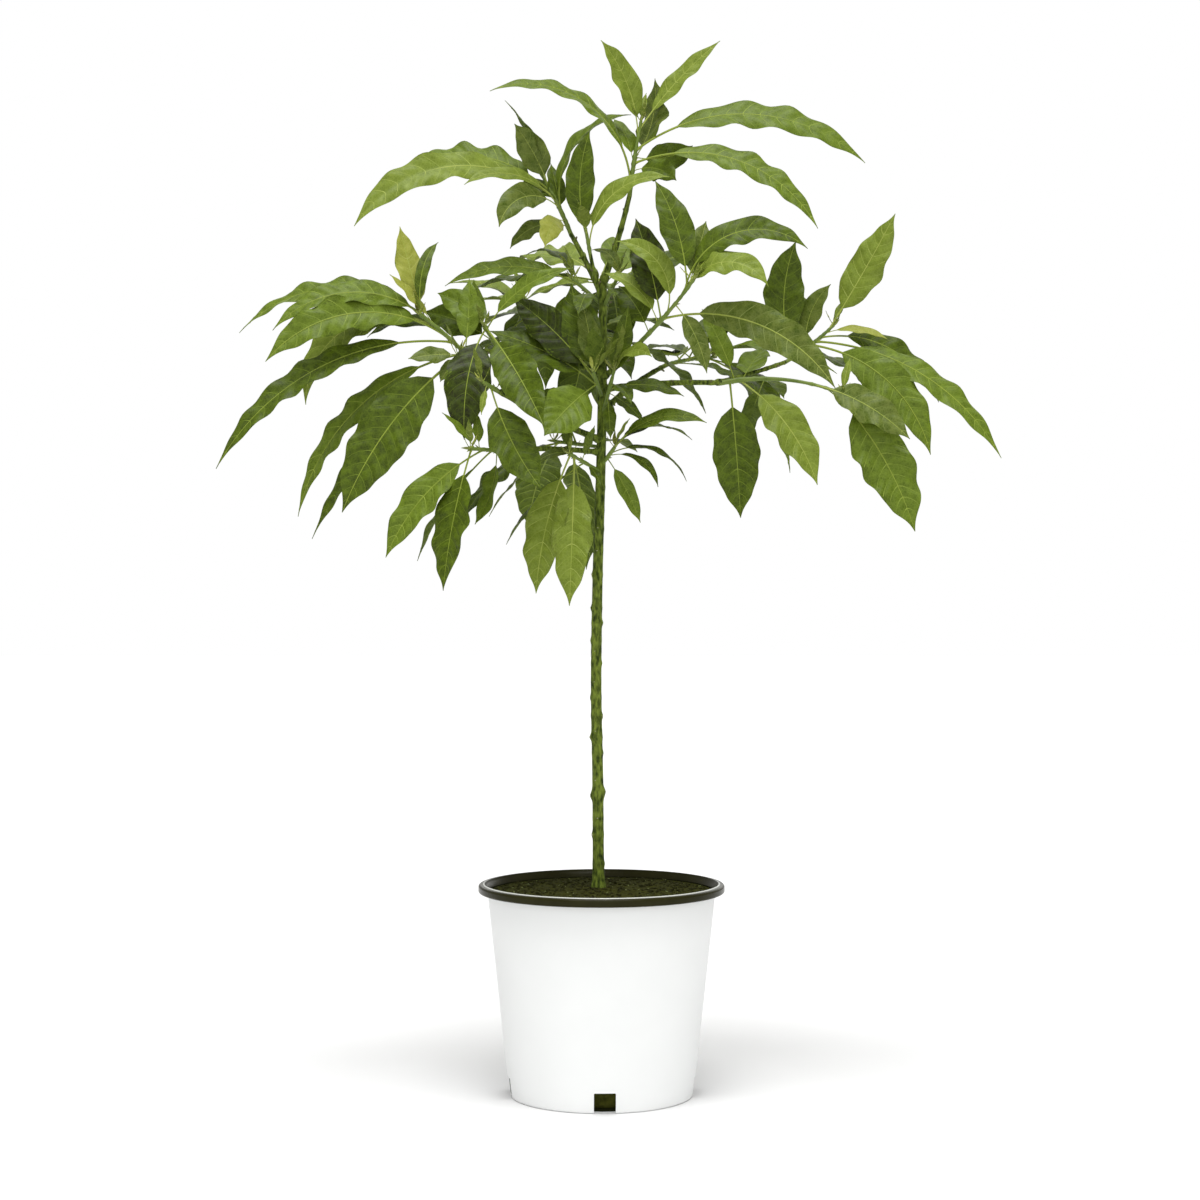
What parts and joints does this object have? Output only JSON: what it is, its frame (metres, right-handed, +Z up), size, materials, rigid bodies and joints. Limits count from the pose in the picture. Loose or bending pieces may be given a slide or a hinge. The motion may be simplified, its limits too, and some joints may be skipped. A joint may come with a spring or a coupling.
{
  "type": "potted avocado tree",
  "caption": "Young avocado tree with a slim green stem and a wide open crown of long glossy leaves, standing in a white tapered nursery pot with a black rim and dark soil.",
  "frame": {"origin": "middle of the pot's flat underside, on the surface it stands on", "axes": "+Z up along the trunk, -Y towards the front of the tree, +X to the right as seen from the front"},
  "size_m": [0.8746, 0.4363, 1.2019],
  "materials": {
    "pot_plastic": "satin white injection-moulded nursery pot plastic",
    "rim_plastic": "glossy black rolled lip of the same pot",
    "soil": "dark moist potting mix of bark and peat",
    "bark": "smooth young green bark with leaf scars and thin grey streaks",
    "leaf": "leathery glossy leaf with a paler midrib and veins"
  },
  "bodies": {
    "root": {"pot": "pot_plastic", "pot_rim": "rim_plastic", "soil": "soil", "trunk": "bark", "bough_right_fork": "bark", "bough_left_fork": "bark", "bough_middle": "bark", "bough_right_upper": "bark", "bough_right_lower": "bark", "bough_right_outer": "bark", "bough_left_upper": "bark", "bough_left_outer": "bark", "bough_left_lower": "bark", "bough_left_low": "bark", "bough_back_left": "bark", "bough_back_right": "bark", "bough_back_top": "bark", "foliage_top": "leaf", "foliage_top_left": "leaf", "foliage_top_middle": "leaf", "foliage_fork_left": "leaf", "foliage_fork_right": "leaf", "foliage_right_upper": "leaf", "foliage_right_low": "leaf", "foliage_right_outer": "leaf", "foliage_right_inner": "leaf", "foliage_low_right": "leaf", "foliage_low_left": "leaf", "foliage_centre_front": "leaf", "foliage_left_inner": "leaf", "foliage_left_outer": "leaf", "foliage_left_hanging": "leaf", "foliage_left_middle": "leaf", "foliage_left_low": "leaf", "foliage_centre_back": "leaf", "foliage_low_back": "leaf", "foliage_back_left": "leaf", "foliage_back_right": "leaf", "foliage_back_top": "leaf"}
  },
  "joints": []
}
